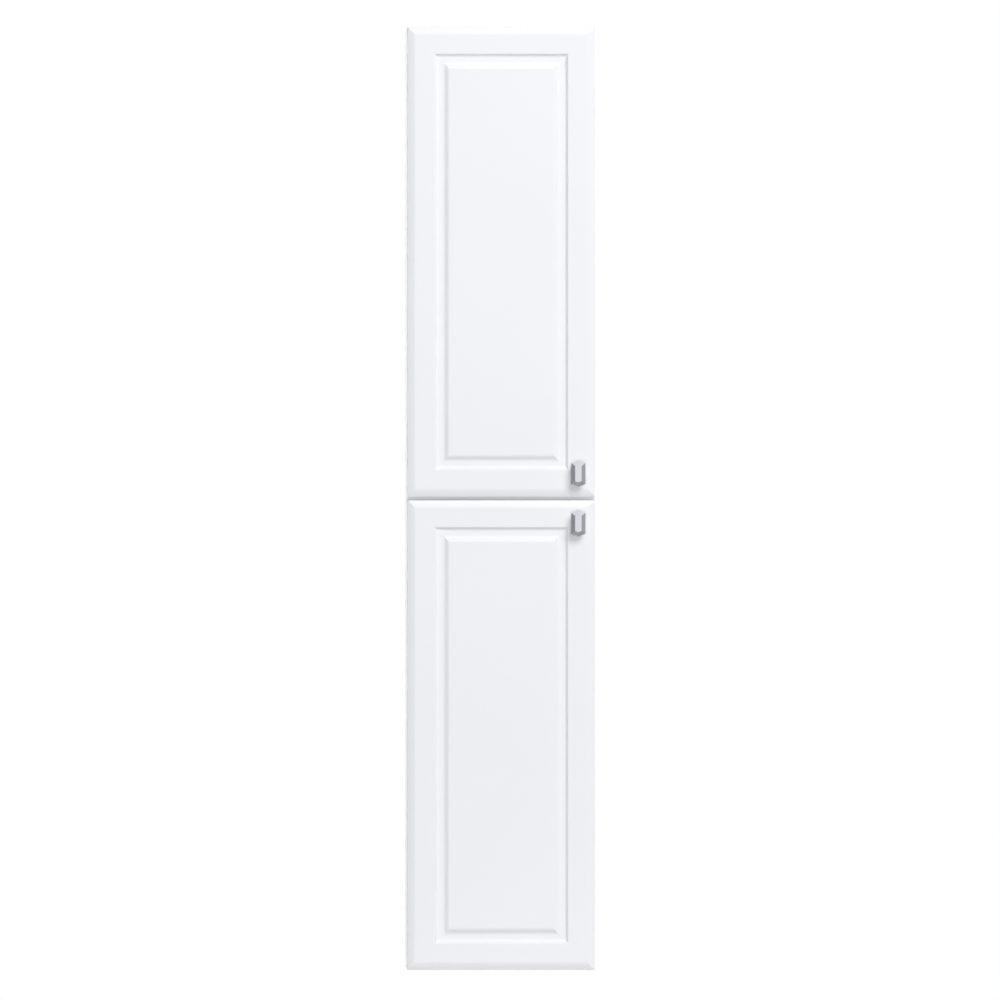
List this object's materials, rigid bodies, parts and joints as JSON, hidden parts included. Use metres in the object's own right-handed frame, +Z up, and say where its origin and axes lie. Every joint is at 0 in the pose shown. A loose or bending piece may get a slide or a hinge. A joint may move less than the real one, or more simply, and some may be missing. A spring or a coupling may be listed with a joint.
{
  "type": "tall bathroom cabinet",
  "caption": "Tall narrow white wall-hung bathroom cabinet with stacked moulded doors, small grey metal knobs and glass shelves.",
  "frame": {"origin": "centre of the underside of the carcass", "axes": "+Z up, +Y towards the wall, so the doors face -Y; +X to the right seen from the front"},
  "size_m": [0.35, 0.375, 1.76],
  "materials": {
    "white_melamine": "satin white melamine on chipboard",
    "white_foil_mdf": "satin white foil on routed fibreboard",
    "white_hardboard": "matt white lacquered hardboard",
    "white_edge_band": "satin",
    "clear_glass": "clear, ground edges",
    "nickel_steel": "nickel plated",
    "zinc": "die-cast zinc",
    "steel": "zinc plated",
    "spring_steel": "hardened",
    "galvanised_steel": "galvanised",
    "satin_grey_metal": "satin grey nickel",
    "white_plastic": "matt",
    "clear_soft_plastic": "clear soft",
    "beech": "plain beech"
  },
  "bodies": {
    "carcass": {"back_panel": "white_hardboard", "bottom_panel": "white_melamine", "cam_bolts": "steel", "cam_locks": "zinc", "front_edge_bands": "white_edge_band", "glass_shelf_lower_compartment_high": "clear_glass", "glass_shelf_lower_compartment_low": "clear_glass", "glass_shelf_upper_compartment_high": "clear_glass", "glass_shelf_upper_compartment_low": "clear_glass", "hanger_adjusting_screws": "steel", "hanger_cover_caps": "white_plastic", "hanger_hooks": "galvanised_steel", "hanger_housings": "white_plastic", "hinge_arms": "nickel_steel", "hinge_depth_screws": "steel", "hinge_mounting_plates": "nickel_steel", "hinge_plate_screws": "steel", "hinge_side_screws": "steel", "left_side_panel": "white_melamine", "middle_panel": "white_melamine", "right_side_panel": "white_melamine", "shelf_support_pads": "clear_soft_plastic", "shelf_supports": "nickel_steel", "top_panel": "white_melamine", "wall_rail": "galvanised_steel", "wooden_dowels": "beech"},
    "upper_door": {"upper_cup_screws": "steel", "upper_door": "white_foil_mdf", "upper_door_bumpers": "clear_soft_plastic", "upper_hinge_cups": "nickel_steel", "upper_hinge_pins": "steel", "upper_hinge_springs": "spring_steel", "upper_knob": "satin_grey_metal", "upper_knob_screw": "steel"},
    "lower_door": {"lower_cup_screws": "steel", "lower_door": "white_foil_mdf", "lower_door_bumpers": "clear_soft_plastic", "lower_hinge_cups": "nickel_steel", "lower_hinge_pins": "steel", "lower_hinge_springs": "spring_steel", "lower_knob": "satin_grey_metal", "lower_knob_screw": "steel"}
  },
  "joints": [
    {"name": "upper_door_hinge", "type": "hinge", "parent": "carcass", "child": "upper_door", "pos_m": [-0.1679, -0.176, 1.32], "axis": [0, 0, -1], "range_deg": [0, 105]},
    {"name": "lower_door_hinge", "type": "hinge", "parent": "carcass", "child": "lower_door", "pos_m": [-0.1679, -0.176, 0.44], "axis": [0, 0, -1], "range_deg": [0, 105]}
  ]
}
